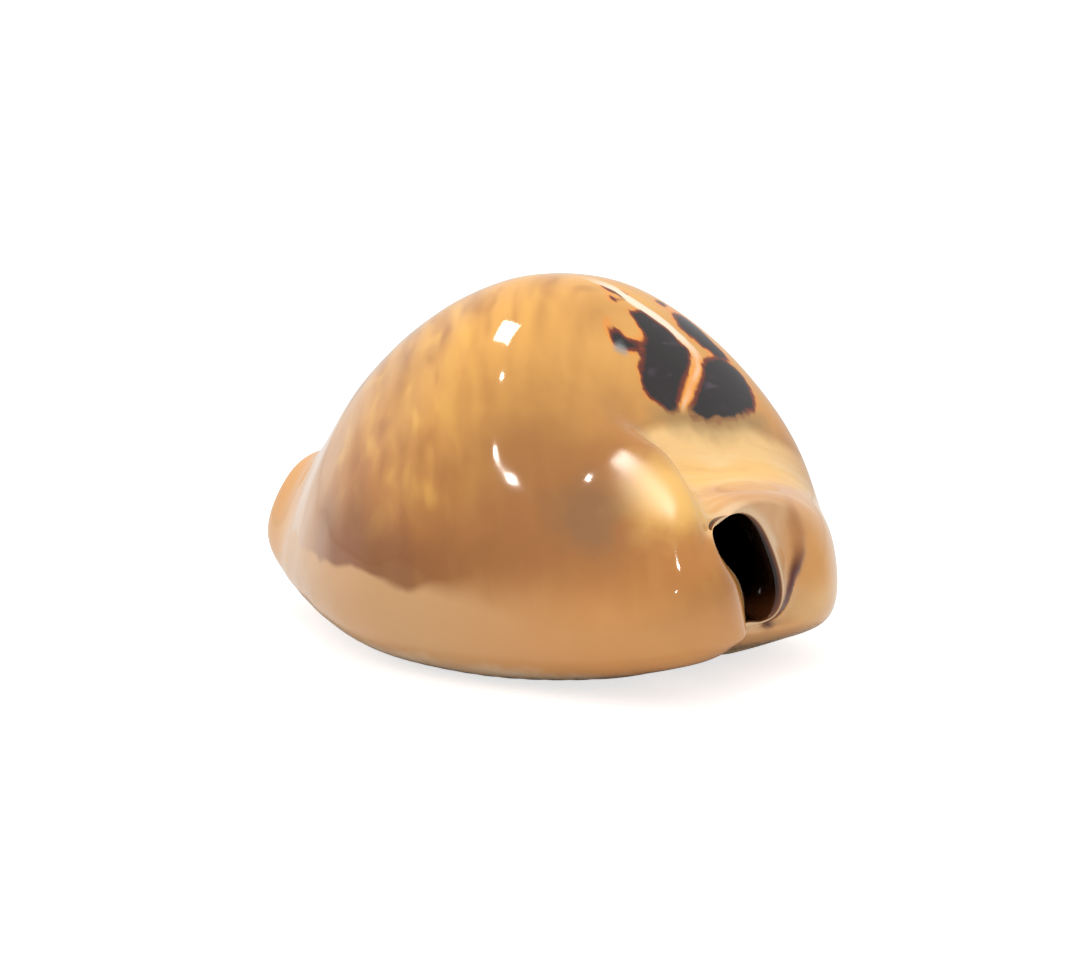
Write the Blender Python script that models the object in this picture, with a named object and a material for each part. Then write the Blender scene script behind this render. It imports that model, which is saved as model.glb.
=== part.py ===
"""Cowrie shell: one closed wall around a hollow whorl, open along the toothed slit
of the base and at the canal of each end. +X is the back end, +Z the domed back."""

from collections import namedtuple

import bmesh
import bpy
import numpy as np

# Driving dimensions, in metres
SHELL_LENGTH = 0.050
SHELL_WIDTH = 0.0334
SHELL_HEIGHT = 0.0264
RIM_ROUNDING = 0.00015
TOOTH_RISE = 0.0005
REST_CUT = 0.0003

# Teeth along the slit, the ends of their row as shares of the length
TOOTH_COUNT = 22
TOOTH_START = -0.39
TOOTH_END = 0.36
# How far the teeth reach from the lip's edge, in outer columns, outside and inside,
# and where they also dip below the base, by a share of their rise
TOOTH_REACH_OUTSIDE = 4.2
TOOTH_REACH_INSIDE = 1.5
TOOTH_DIP = 0.5
TOOTH_DIP_AT = 3.2
TOOTH_DIP_REACH = 1.6

# Mesh counts: columns round the section, rows before the first tooth and after the last
COLUMNS = 32
FRONT_ROWS = 8
BACK_ROWS = 12
# Share of the way round that a quarter of the columns takes at each lip
LIP_SHARE = 0.2

COLLECTION_NAME = "cowrie"
SHELL_NAME = "cowrie_shell"
SHELL_COLOUR = (0.62, 0.36, 0.15, 1.0)
SHELL_ROUGHNESS = 0.12

# Stations from the front end to the back end. Places along are shares of the length,
# widths are shares of half the width, heights are shares of the height.
# near is the side of the inner lip (-Y), far the side of the outer lip (+Y).
# slit is the middle of the gap between the lips, gap its half width, lip a lip's width,
# floor and roof the bottom and top of the hollow, fullness how square the shoulders are.
# ridge tells how much the near lobe stands up beside the canal, as a fold that starts
# at ridge_at of the near half width and is ridge_height of the section high.
# slant tells how far the canal's near wall leans in under that lobe.
# flange tells how much the far side stands out as a flange towards the back end.
Station = namedtuple("Station", (
    "along", "centre", "top", "near", "far", "base",
    "slit", "gap", "lip", "floor", "roof", "hollow_near", "hollow_far",
    "fullness", "flange", "ridge", "ridge_at", "ridge_height", "slant"), defaults=(0, 0, 0, 0, 0))
STATIONS = [Station(*row) for row in (
    (-0.484, -0.04, 0.390, 0.22, 0.22, 0.200, -0.02, 0.062, 0.06, 0.250, 0.320, 0.10, 0.11, 0.8),
    (-0.465, -0.03, 0.450, 0.30, 0.33, 0.160, -0.01, 0.066, 0.09, 0.240, 0.335, 0.11, 0.11, 0.7),
    (-0.414, -0.02, 0.455, 0.38, 0.49, 0.103, 0.01, 0.064, 0.12, 0.220, 0.345, 0.14, 0.15, 0.4),
    (-0.342, 0, 0.565, 0.53, 0.68, 0.075, 0.03, 0.060, 0.14, 0.210, 0.470, 0.36, 0.43, 0.1),
    (-0.244, 0, 0.765, 0.70, 0.84, 0.050, 0.05, 0.056, 0.155, 0.203, 0.695, 0.56, 0.65, 0),
    (-0.134, 0, 0.895, 0.872, 0.95, 0.030, 0.06, 0.052, 0.165, 0.200, 0.835, 0.735, 0.79, 0),
    (-0.020, 0, 1.000, 0.98, 1, 0.002, 0.06, 0.050, 0.165, 0.195, 0.930, 0.85, 0.85, 0),
    (0.093, 0, 1.020, 1, 1.02, 0, 0.05, 0.050, 0.165, 0.195, 0.930, 0.865, 0.84, 0.4),
    (0.188, -0.01, 0.885, 0.96, 0.994, 0.004, 0.01, 0.05, 0.16, 0.203, 0.8, 0.8, 0.77, 0.7, 0.35, 0.1, 0.1, 1.03),
    (0.263, -0.02, 0.705, 0.88, 0.955, 0.018, -0.04, 0.05, 0.15, 0.205, 0.59, 0.64, 0.58, 0.8, 0.6, 0.5, 0.13, 1.08),
    (0.329, -0.04, 0.535, 0.8, 0.84, 0.042, -0.095, 0.05, 0.13, 0.2, 0.44, 0.43, 0.4, 1, 0.55, 1, 0.19, 1.23, 0.2),
    (0.386, -0.06, 0.495, 0.71, 0.762, 0.072, -0.14, 0.052, 0.115, 0.193, 0.428, 0.3, 0.22, 1, 0.35, 1, 0.28, 1.19,
     0.7),
    (0.432, -0.08, 0.495, 0.61, 0.62, 0.105, -0.18, 0.052, 0.09, 0.18, 0.448, 0.265, 0.18, 1, 0, 1, 0.42, 1.02, 1),
    (0.454, -0.09, 0.472, 0.50, 0.48, 0.145, -0.20, 0.050, 0.06, 0.175, 0.448, 0.27, 0.18, 1, 0, 1, 0.55, 0.85, 1),
)]

# One side of a section, from beside the top down to the base, in shares of the side's
# half width and of the height above the base
FULL_SIDE = np.array([(0.38, 0.99), (0.72, 0.885), (0.95, 0.65), (1.035, 0.40), (1.03, 0.15), (0.90, 0.02),
                      (0.60, 0.0)])
LEAN_SIDE = np.array([(0.34, 0.965), (0.61, 0.83), (0.82, 0.61), (0.98, 0.38), (1.04, 0.15), (0.92, 0.02),
                      (0.60, 0.0)])
FLANGED_SIDE = np.array([(0.44, 0.96), (0.84, 0.90), (1.06, 0.74), (1.06, 0.42), (1.03, 0.15), (0.90, 0.02),
                         (0.60, 0.0)])
HOLLOW_SIDE = np.array([(0.34, 0.97), (0.63, 0.84), (0.85, 0.62), (1.0, 0.40), (1.03, 0.18), (0.86, 0.03),
                        (0.60, -0.03)])

# The near lobe's ridge in the same shares: its foot is short of the crest and lower,
# its back is past the crest on the way to the side, and below it the flank is fixed
RIDGE_FOOT = 0.68
RIDGE_FOOT_DROP = 0.12
RIDGE_BACK = 0.42
RIDGE_BACK_DROP = 0.17
RIDGE_FLANK = np.array([(0.91, 0.58), (1.04, 0.25), (0.90, 0.02), (0.60, 0.0)])

# The canal's near wall, which slants in under the near lobe
SLANTED_SIDE = np.array([(0.45, 1.0), (0.84, 0.93), (0.86, 0.72), (0.48, 0.50), (0.32, 0.26), (0.34, 0.06),
                         (0.36, -0.03)])

# The lip's edge below and above: shares of the lip's width out from the slit, and of its height
LIP_EDGE = np.array([(1.25, -0.02), (0.25, 0.10), (-0.02, 0.50), (0.35, 0.98)])
LIP_INSIDE = np.array([(1.60, 0.02), (0.90, 0.10)])
# The outer column, counted from the near edge, whose line along the lip sets where the teeth fall
LIP_COLUMN = 3

# How far each outer column leans out along the shell at the ends, as shares of the length,
# from the near lip over the top (middle value) to the far lip
BACK_LEAN = np.array([0.036, 0.040, 0.044, 0.052, 0.062, 0.068, 0.070, 0.066, 0.044, 0.008, -0.012, -0.021,
                      -0.021, -0.019, -0.015, -0.008, -0.002, 0.000, 0.000, 0.002, 0.006, 0.006, 0.006])
FRONT_LEAN = np.array([0.0, 0.0, 0.004, 0.008, 0.011, 0.011, 0.008, 0.0, -0.011, -0.019, -0.026, -0.030,
                       -0.026, -0.019, -0.010, 0.0, 0.004, 0.006, 0.006, 0.006, 0.004, 0.0, 0.0])
# How far the canal's rim sits back behind the near lobe, and the channel cut round it
RIM_BACK = np.array([0.0, 0.004, 0.012, 0.022, 0.034, 0.042, 0.044, 0.042, 0.028, 0.010, 0.002, 0.0,
                     0.0, 0.0, 0.0, 0.0, 0.0, 0.0, 0.0, 0.0, 0.0, 0.0, 0.0])
CHANNEL = np.array([0.0, 0.0, 0.0, 0.0, -0.004, -0.006, -0.006, -0.006, -0.004, 0.0, 0.0, 0.0,
                    0.004, 0.011, 0.019, 0.025, 0.028, 0.028, 0.023, 0.011, 0.004, 0.0, 0.0])
BACK_LEAN_START = 0.215
BACK_LEAN_POWER = 1.5
FRONT_LEAN_START = -0.22
FRONT_LEAN_POWER = 2
LEAN_LENGTH = 0.246

# The rows that close the canal of the back end, as shares of the way through the wall:
# the rim is out from the hollow on the far side, the row before it is in from the outside
# and further in on the near side, and the row inside it is out from the hollow
RIM_OUT = 0.15
BEFORE_RIM_IN = 0.4
BEFORE_RIM_NEAR = 0.2
INSIDE_RIM_OUT = 0.05
# Share of the way round over which the near side's rows turn into the far side's
NEAR_TURN = 0.2

HALF_WIDTH = SHELL_WIDTH / 2
OUTER_COLUMNS = len(BACK_LEAN)
INNER_COLUMNS = 2 * (len(HOLLOW_SIDE) + len(LIP_INSIDE)) + 1
SAMPLES_PER_ROW = 40


def spline_weights(count, places, closed):
    """Weights of a uniform cubic B-spline with count control values, at places from 0 to 1."""
    spans = count if closed else count - 3
    place = np.asarray(places) * spans
    first = np.minimum(np.floor(place).astype(int), spans - 1)
    t = place - first
    weights = ((1 - t) ** 3, 3 * t ** 3 - 6 * t ** 2 + 4, -3 * t ** 3 + 3 * t ** 2 + 3 * t + 1, t ** 3)
    matrix = np.zeros((len(t), count))
    rows = np.arange(len(t))
    for step, weight in enumerate(weights):
        column = (first + step - 1) % count if closed else first + step
        np.add.at(matrix, (rows, column), weight / 6)
    return matrix


def outer_side(station, side):
    """Control points of one outer side as (y, z) shares, from beside the top to the inner edge of the lip."""
    half = station.far if side > 0 else station.near
    shape = LEAN_SIDE + station.fullness * (FULL_SIDE - LEAN_SIDE)
    if side > 0:
        shape = shape + station.flange * (FLANGED_SIDE - shape)
    else:
        at, high = station.ridge_at, station.ridge_height
        foot = (RIDGE_FOOT * at, (high + 1) / 2 - RIDGE_FOOT_DROP)
        back = (at + RIDGE_BACK * (1 - at), high - RIDGE_BACK_DROP)
        ridged = np.vstack([[foot, (at, high), back], RIDGE_FLANK])
        shape = shape + station.ridge * (ridged - shape)
    edge = station.slit + side * station.gap
    flank = np.column_stack([station.centre + side * half * shape[:, 0],
                             station.base + (station.top - station.base) * shape[:, 1]])
    lip = np.column_stack([edge + side * station.lip * LIP_EDGE[:, 0],
                           station.base + (station.floor - station.base) * LIP_EDGE[:, 1]])
    return np.vstack([flank, lip])


def hollow_side(station, side):
    """Control points of one side of the hollow as (y, z) shares, from beside its roof to the lip."""
    half = station.hollow_far if side > 0 else station.hollow_near
    slant = 0 if side > 0 else station.slant
    shape = HOLLOW_SIDE + slant * (SLANTED_SIDE - HOLLOW_SIDE)
    edge = station.slit + side * station.gap
    wall = np.column_stack([station.centre + side * half * shape[:, 0],
                            station.floor + (station.roof - station.floor) * shape[:, 1]])
    lip = np.column_stack([edge + side * station.lip * LIP_INSIDE[:, 0],
                           station.floor + (station.floor - station.base) * LIP_INSIDE[:, 1]])
    return np.vstack([wall, lip])


def end_lean(station, lean_back, lean_front):
    """Shift along the shell, in shares, that rises from nothing towards each end."""
    back = max(station.along - BACK_LEAN_START, 0) / LEAN_LENGTH
    front = max(FRONT_LEAN_START - station.along, 0) / LEAN_LENGTH
    return back ** BACK_LEAN_POWER * lean_back - front ** FRONT_LEAN_POWER * lean_front


def section_points(station, around):
    """Outer and inner section curves in metres, both sampled at the same places around."""
    outer = np.vstack([outer_side(station, -1)[::-1], [(station.centre, station.top)], outer_side(station, 1)])
    inner = np.vstack([hollow_side(station, 1)[::-1], [(station.centre, station.roof)],
                       hollow_side(station, -1)])
    paired = np.linspace(OUTER_COLUMNS, 0, INNER_COLUMNS + 1, endpoint=False)[1:] - 0.5
    columns = np.arange(OUTER_COLUMNS)
    inner_lean = [np.interp(paired, columns, lean) for lean in (BACK_LEAN - RIM_BACK, FRONT_LEAN)]
    along = station.along + np.concatenate([end_lean(station, BACK_LEAN, FRONT_LEAN),
                                            end_lean(station, *inner_lean)])
    net = np.column_stack([along, np.vstack([outer, inner])]) * (SHELL_LENGTH, HALF_WIDTH, SHELL_HEIGHT)
    count = OUTER_COLUMNS + INNER_COLUMNS
    turn = (OUTER_COLUMNS - 1) * around
    back_turn = count - (INNER_COLUMNS + 1) * around
    return (spline_weights(count, turn / count, True) @ net,
            spline_weights(count, (back_turn % count) / count, True) @ net)


def add_ends(outer, inner, around):
    """Closes the wall at both ends: rows up to a shared rim, and one row past it that pins the curve there."""
    count = OUTER_COLUMNS + INNER_COLUMNS
    open_weights = spline_weights(count, (OUTER_COLUMNS - 1) * around / count, True)[:, :OUTER_COLUMNS]
    rim_back = open_weights @ RIM_BACK * SHELL_LENGTH
    channel = open_weights @ CHANNEL * SHELL_LENGTH
    front_rim = (outer[0] + inner[0]) / 2
    front_rim[:, 0] = outer[0, :, 0] - 2 * RIM_ROUNDING
    near_share = np.clip((0.5 - around) / NEAR_TURN, 0, 1)[:, None]
    back_rim = inner[-1] + RIM_OUT * (1 - near_share) * (outer[-1] - inner[-1])
    back_rim[:, 0] = outer[-1, :, 0] + RIM_ROUNDING - rim_back
    before_rim = outer[-1] + (BEFORE_RIM_IN + BEFORE_RIM_NEAR * near_share) * (inner[-1] - outer[-1])
    before_rim[:, 0] = outer[-1, :, 0] + RIM_ROUNDING - channel
    inside_rim = inner[-1] + INSIDE_RIM_OUT * (outer[-1] - inner[-1])
    inside_rim[:, 0] = (inner[-1, :, 0] + back_rim[:, 0]) / 2
    inside_rim[[0, -1]] = before_rim[[0, -1]]

    def extend(rows, last):
        return np.concatenate([[2 * front_rim - rows[0]], [front_rim], rows, [last], [back_rim],
                               [2 * back_rim - last]])
    return extend(outer, before_rim), extend(inner, inside_rim)


def row_places(lip_line):
    """Places of the mesh rows on the spline: two rows a tooth along the slit, plain steps at the ends."""
    count = len(lip_line)
    fine = np.linspace(0, 1, SAMPLES_PER_ROW * count)
    along = spline_weights(count, fine, False) @ lip_line
    teeth = np.linspace(TOOTH_START, TOOTH_END, 2 * TOOTH_COUNT + 1) * SHELL_LENGTH
    middle = np.interp(teeth, along, fine)
    front = np.linspace(0, middle[0], FRONT_ROWS, endpoint=False)
    back = np.linspace(middle[-1], 1, BACK_ROWS + 1)[1:]
    return np.concatenate([front, middle, back])


def raise_teeth(outer, inner, around):
    """Teeth on both lips: the lip's edge steps into the slit, and dips a little, once a tooth."""
    from_edge = (OUTER_COLUMNS - 1) * np.minimum(around, 1 - around)
    side = np.sign(around - 0.5)
    start, end = TOOTH_START * SHELL_LENGTH, TOOTH_END * SHELL_LENGTH
    under = np.clip(1 - np.abs(from_edge - TOOTH_DIP_AT) / TOOTH_DIP_REACH, 0, 1)
    for points, reach, dip in ((outer, TOOTH_REACH_OUTSIDE, TOOTH_DIP), (inner, TOOTH_REACH_INSIDE, 0)):
        share = (points[:, :, 0] - start) / (end - start)
        wave = np.where((share > 0) & (share < 1), np.sin(np.pi * TOOTH_COUNT * share) ** 2, 0)
        edge = np.clip(2 * (reach - from_edge) / reach, 0, 1)
        points[:, :, 1] -= TOOTH_RISE * wave * edge * side
        points[:, :, 2] -= dip * TOOTH_RISE * wave * under


def shell_points():
    """Outer and inner grids of points, rows along the shell by columns around it."""
    lips = np.linspace(0, LIP_SHARE, COLUMNS // 4, endpoint=False)
    middle = np.linspace(LIP_SHARE, 1 - LIP_SHARE, COLUMNS - 2 * len(lips) + 1)
    around = np.concatenate([lips, middle, 1 - lips[::-1]])
    sections = [section_points(station, around) for station in STATIONS]
    outer = np.array([section[0] for section in sections])
    inner = np.array([section[1] for section in sections])
    outer, inner = add_ends(outer, inner, around)
    weights = spline_weights(len(outer), row_places(outer[:, LIP_COLUMN, 0]), False)
    outer = np.einsum("rs,scx->rcx", weights, outer)
    inner = np.einsum("rs,scx->rcx", weights, inner)
    raise_teeth(outer, inner, around)
    return outer, inner


def fit_to_size(outer, inner):
    """Rests the shell on a small flat spot at height 0, centred, and brings it to its exact dimensions."""
    low = outer.reshape(-1, 3).min(axis=0)
    high = outer.reshape(-1, 3).max(axis=0)
    rest = low[2] + REST_CUT
    middle = np.array([(low[0] + high[0]) / 2, (low[1] + high[1]) / 2, rest])
    size = np.array([high[0] - low[0], high[1] - low[1], high[2] - rest])
    for points in (outer, inner):
        points[:, :, 2] = np.maximum(points[:, :, 2], rest)
        points -= middle
        points *= np.array([SHELL_LENGTH, SHELL_WIDTH, SHELL_HEIGHT]) / size


def grid_faces(numbers):
    """Four-sided faces of a grid of point numbers."""
    return np.stack([numbers[:-1, :-1], numbers[1:, :-1], numbers[1:, 1:], numbers[:-1, 1:]], axis=-1)


def make_mesh(outer, inner):
    """Joins both grids along the rims and along the edges of the slit into one closed wall."""
    rows, columns = outer.shape[:2]
    outside = np.arange(rows * columns).reshape(rows, columns)
    inside = outside + rows * columns
    for edge in (np.s_[0], np.s_[-1], np.s_[:, 0], np.s_[:, -1]):
        inside[edge] = outside[edge]
    faces = np.concatenate([grid_faces(outside).reshape(-1, 4), grid_faces(inside).reshape(-1, 4)[:, ::-1]])
    used, faces = np.unique(faces, return_inverse=True)
    points = np.concatenate([outer.reshape(-1, 3), inner.reshape(-1, 3)])[used]
    mesh = bpy.data.meshes.new(SHELL_NAME)
    mesh.from_pydata(points.tolist(), [], faces.reshape(-1, 4).tolist())
    form = bmesh.new()
    form.from_mesh(mesh)
    bmesh.ops.recalc_face_normals(form, faces=form.faces)
    form.to_mesh(mesh)
    form.free()
    mesh.shade_smooth()
    return mesh


def make_material():
    """Glossy tan enamel of the shell."""
    material = bpy.data.materials.new(SHELL_NAME)
    material.use_nodes = True
    shader = material.node_tree.nodes["Principled BSDF"]
    shader.inputs["Base Color"].default_value = SHELL_COLOUR
    shader.inputs["Roughness"].default_value = SHELL_ROUGHNESS
    shader.inputs["Metallic"].default_value = 0.0
    return material


def main():
    """Clears the scene and builds the shell."""
    for item in list(bpy.data.objects):
        bpy.data.objects.remove(item)
    collection = bpy.data.collections.new(COLLECTION_NAME)
    bpy.context.scene.collection.children.link(collection)
    outer, inner = shell_points()
    fit_to_size(outer, inner)
    mesh = make_mesh(outer, inner)
    mesh.materials.append(make_material())
    collection.objects.link(bpy.data.objects.new(SHELL_NAME, mesh))


main()
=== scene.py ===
from math import cos, radians, sin
from types import SimpleNamespace

import bpy
import numpy as np
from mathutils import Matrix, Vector


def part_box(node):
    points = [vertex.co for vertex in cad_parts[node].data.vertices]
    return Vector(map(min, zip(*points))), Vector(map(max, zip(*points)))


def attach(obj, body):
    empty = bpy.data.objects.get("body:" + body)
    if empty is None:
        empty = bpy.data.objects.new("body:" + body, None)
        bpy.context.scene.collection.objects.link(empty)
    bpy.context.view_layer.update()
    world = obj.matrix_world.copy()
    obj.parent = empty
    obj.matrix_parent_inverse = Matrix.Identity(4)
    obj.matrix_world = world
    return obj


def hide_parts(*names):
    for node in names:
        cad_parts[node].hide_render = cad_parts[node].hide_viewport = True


print("frame: loading the packed shell")
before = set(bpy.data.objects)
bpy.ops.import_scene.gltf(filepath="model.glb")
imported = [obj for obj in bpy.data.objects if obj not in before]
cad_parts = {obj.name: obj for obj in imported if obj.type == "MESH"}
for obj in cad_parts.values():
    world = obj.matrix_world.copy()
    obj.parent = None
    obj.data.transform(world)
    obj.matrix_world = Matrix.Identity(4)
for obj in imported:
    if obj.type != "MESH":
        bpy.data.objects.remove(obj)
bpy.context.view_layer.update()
shellNode = "cowrie_shell"
shellLow, shellHigh = (np.array(corner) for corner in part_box(shellNode))
shellSize = shellHigh - shellLow
toMm = 1000    # metres to millimetres


# Shape of the shell. Places along are shares of the length, widths are shares of half
# the width and heights are shares of the height. Near is the inner lip's side (-Y).
# Rounding and cut are in metres.
shell = {
    "columns": 196,             # round the section, lip edge to lip edge
    "lipColumns": 36,           # of those, at each lip
    "lipShare": 0.2,            # and the share of the way round that they take
    "rowsPerTooth": 8,
    "frontRows": 24,
    "backRows": 40,
    "fineSteps": 40,            # per station, where the rows' places are looked up
    "rimRounding": 0.00015,
    "restCut": 0.0003,          # how far the flat resting spot is ground off
    "leanBackFrom": 0.215,      # where each end starts to lean out, and by which power
    "leanBackPower": 1.5,
    "leanFrontFrom": -0.22,
    "leanFrontPower": 2,
    "leanLength": 0.246,
    "rimOut": 0.15,             # mixes of the wall's two sides in the rows at the back rim
    "beforeRimIn": 0.4,
    "beforeRimNear": 0.2,
    "insideRimOut": 0.05,
    "nearTurn": 0.2,            # share of the way round over which the near side's mix fades
}

# The stations, front to back. First the sections: where each is, how high and wide it is
# and the slit between the lips. Then the hollow, how square the shoulders are, the near
# lobe's ridge beside the canal, how far the canal's near wall slants in under it, and
# how far the far side flares.
sectionNames = "along centre top near far base slit gap lip floor".split()
sectionRows = np.array([
    (-0.484, -0.04, 0.39, 0.22, 0.22, 0.2, -0.02, 0.062, 0.06, 0.25),
    (-0.465, -0.03, 0.45, 0.30, 0.33, 0.16, -0.01, 0.066, 0.09, 0.24),
    (-0.414, -0.02, 0.455, 0.38, 0.49, 0.103, 0.01, 0.064, 0.12, 0.22),
    (-0.342, 0, 0.565, 0.53, 0.68, 0.075, 0.03, 0.06, 0.14, 0.21),
    (-0.244, 0, 0.765, 0.7, 0.84, 0.05, 0.05, 0.056, 0.155, 0.203),
    (-0.134, 0, 0.895, 0.872, 0.95, 0.03, 0.06, 0.052, 0.165, 0.2),
    (-0.020, 0, 1, 0.98, 1, 0.002, 0.06, 0.05, 0.165, 0.195),
    (0.093, 0, 1.02, 1, 1.02, 0, 0.05, 0.05, 0.165, 0.195),
    (0.188, -0.01, 0.885, 0.96, 0.994, 0.004, 0.01, 0.05, 0.16, 0.203),
    (0.263, -0.02, 0.705, 0.88, 0.955, 0.018, -0.04, 0.05, 0.15, 0.205),
    (0.329, -0.04, 0.535, 0.8, 0.84, 0.042, -0.095, 0.05, 0.13, 0.2),
    (0.386, -0.06, 0.495, 0.71, 0.762, 0.072, -0.14, 0.052, 0.115, 0.193),
    (0.432, -0.08, 0.495, 0.61, 0.62, 0.105, -0.18, 0.052, 0.09, 0.18),
    (0.454, -0.09, 0.472, 0.5, 0.48, 0.145, -0.2, 0.05, 0.06, 0.175),
])
hollowNames = "roof hollowNear hollowFar fullness ridge ridgeAt ridgeHeight slant flange".split()
hollowRows = np.array([
    (0.32, 0.10, 0.11, 0.8, 0, 0, 0, 0, 0),
    (0.335, 0.11, 0.11, 0.7, 0, 0, 0, 0, 0),
    (0.345, 0.14, 0.15, 0.4, 0, 0, 0, 0, 0),
    (0.47, 0.36, 0.43, 0.1, 0, 0, 0, 0, 0),
    (0.695, 0.56, 0.65, 0, 0, 0, 0, 0, 0),
    (0.835, 0.735, 0.79, 0, 0, 0, 0, 0, 0),
    (0.93, 0.85, 0.85, 0, 0, 0, 0, 0, 0),
    (0.93, 0.865, 0.84, 0.4, 0, 0, 0, 0, 0),
    (0.8, 0.8, 0.77, 0.7, 0.1, 0.1, 1.03, 0, 0.35),
    (0.59, 0.64, 0.58, 0.8, 0.5, 0.13, 1.08, 0, 0.6),
    (0.44, 0.43, 0.4, 1, 1, 0.19, 1.23, 0.2, 0.55),
    (0.428, 0.3, 0.22, 1, 1, 0.28, 1.19, 0.7, 0.35),
    (0.448, 0.265, 0.18, 1, 1, 0.42, 1.02, 1, 0),
    (0.448, 0.27, 0.18, 1, 1, 0.55, 0.85, 1, 0),
])
station = dict(zip(sectionNames + hollowNames, np.hstack([sectionRows, hollowRows]).T))

# One side of a section from beside the top down to the base, in shares of the half
# width and of the height above the base
fullSide = np.array([(0.38, 0.99), (0.72, 0.885), (0.95, 0.65), (1.035, 0.40), (1.03, 0.15), (0.90, 0.02),
                     (0.60, 0)])
leanSide = np.array([(0.34, 0.965), (0.61, 0.83), (0.82, 0.61), (0.98, 0.38), (1.04, 0.15), (0.92, 0.02),
                     (0.60, 0)])
hollowSide = np.array([(0.34, 0.97), (0.63, 0.84), (0.85, 0.62), (1, 0.40), (1.03, 0.18), (0.86, 0.03),
                       (0.60, -0.03)])
slantedSide = np.array([(0.45, 1), (0.84, 0.93), (0.86, 0.72), (0.48, 0.50), (0.32, 0.26), (0.34, 0.06),
                        (0.36, -0.03)])
flangedSide = np.array([(0.44, 0.96), (0.84, 0.90), (1.06, 0.74), (1.06, 0.42), (1.03, 0.15), (0.90, 0.02),
                        (0.60, 0)])
ridgeFlank = np.array([(0.91, 0.58), (1.04, 0.25), (0.90, 0.02), (0.60, 0)])
ridgeFoot, ridgeFootDrop = 0.68, 0.12      # the ridge's foot, short of its crest
ridgeBack, ridgeBackDrop = 0.42, 0.17      # and its back, past the crest
lipEdge = np.array([(1.25, -0.02), (0.25, 0.10), (-0.02, 0.50), (0.35, 0.98)])
lipInside = np.array([(1.60, 0.02), (0.90, 0.10)])

# How far the outer columns lean out at the ends, near lip to top to far lip, how far
# the canal's rim sits back behind the near lobe, and the channel round it
backLean = np.array([0.036, 0.040, 0.044, 0.052, 0.062, 0.068, 0.070, 0.066, 0.044, 0.008, -0.012, -0.021,
                     -0.021, -0.019, -0.015, -0.008, -0.002, 0, 0, 0.002, 0.006, 0.006, 0.006])
frontLean = np.array([0, 0, 0.004, 0.008, 0.011, 0.011, 0.008, 0, -0.011, -0.019, -0.026, -0.030,
                      -0.026, -0.019, -0.010, 0, 0.004, 0.006, 0.006, 0.006, 0.004, 0, 0])
rimBack = np.array([0, 0.004, 0.012, 0.022, 0.034, 0.042, 0.044, 0.042, 0.028, 0.010, 0.002, 0,
                    0, 0, 0, 0, 0, 0, 0, 0, 0, 0, 0])
channel = np.array([0, 0, 0, 0, -0.004, -0.006, -0.006, -0.006, -0.004, 0, 0, 0,
                    0.004, 0.011, 0.019, 0.025, 0.028, 0.028, 0.023, 0.011, 0.004, 0, 0])
outerCount = len(backLean)
innerCount = 2 * (len(hollowSide) + len(lipInside)) + 1

teeth = {
    "count": 22,
    "start": -0.39,             # where their row begins and ends, in shares of the length
    "end": 0.36,
    "rise": 0.0005,
    "reachNear": 4.0,           # how far they run out from the lip's edge, in outer columns
    "reachFar": 4.6,
    "reachInside": 1.5,
    "dip": 0.5,                 # share of the rise by which they also stand down
    "dipAt": 3.2,
    "dipReach": 1.6,
}


def splineWeights(count, places, closed):
    # uniform cubic spline: each place from 0 to 1 mixes the four nearest control values
    # by the cubics of its fraction between them
    spans = count if closed else count - 3
    place = np.asarray(places) * spans
    first = np.minimum(np.floor(place).astype(int), spans - 1)
    t = place - first
    weights = ((1 - t) ** 3, 3 * t ** 3 - 6 * t ** 2 + 4, -3 * t ** 3 + 3 * t ** 2 + 3 * t + 1, t ** 3)
    matrix = np.zeros((len(t), count))
    rows = np.arange(len(t))
    for step, weight in enumerate(weights):
        column = (first + step - 1) % count if closed else first + step
        np.add.at(matrix, (rows, column), weight / 6)
    return matrix


def spread(values):
    # one value for each station, shaped to multiply its points
    return values[:, None, None]


def sidePoints(centre, reach, low, high, shape):
    # shares of a side turned into places: centre plus reach times the first share, low
    # plus the height times the second
    return np.stack([centre[:, None] + reach[:, None] * shape[..., 0],
                     low[:, None] + (high - low)[:, None] * shape[..., 1]], axis=-1)


def outerSide(side):
    # flank: mix of the lean and the full side, then the ridge on the near side; lip: its edge
    st = station
    shape = leanSide + spread(st["fullness"]) * (fullSide - leanSide)
    if side < 0:
        at, high = st["ridgeAt"], st["ridgeHeight"]
        foot = np.stack([ridgeFoot * at, (high + 1) / 2 - ridgeFootDrop], axis=-1)
        back = np.stack([at + ridgeBack * (1 - at), high - ridgeBackDrop], axis=-1)
        crest = np.stack([at, high], axis=-1)
        flank = np.broadcast_to(ridgeFlank, (len(at),) + ridgeFlank.shape)
        ridged = np.concatenate([np.stack([foot, crest, back], axis=1), flank], axis=1)
        shape = shape + spread(st["ridge"]) * (ridged - shape)
    else:
        shape = shape + spread(st["flange"]) * (flangedSide - shape)
    half = st["far"] if side > 0 else st["near"]
    edge = st["slit"] + side * st["gap"]
    lip = np.broadcast_to(lipEdge, (len(half),) + lipEdge.shape)
    return np.concatenate([sidePoints(st["centre"], side * half, st["base"], st["top"], shape),
                           sidePoints(edge, side * st["lip"], st["base"], st["floor"], lip)], axis=1)


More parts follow.
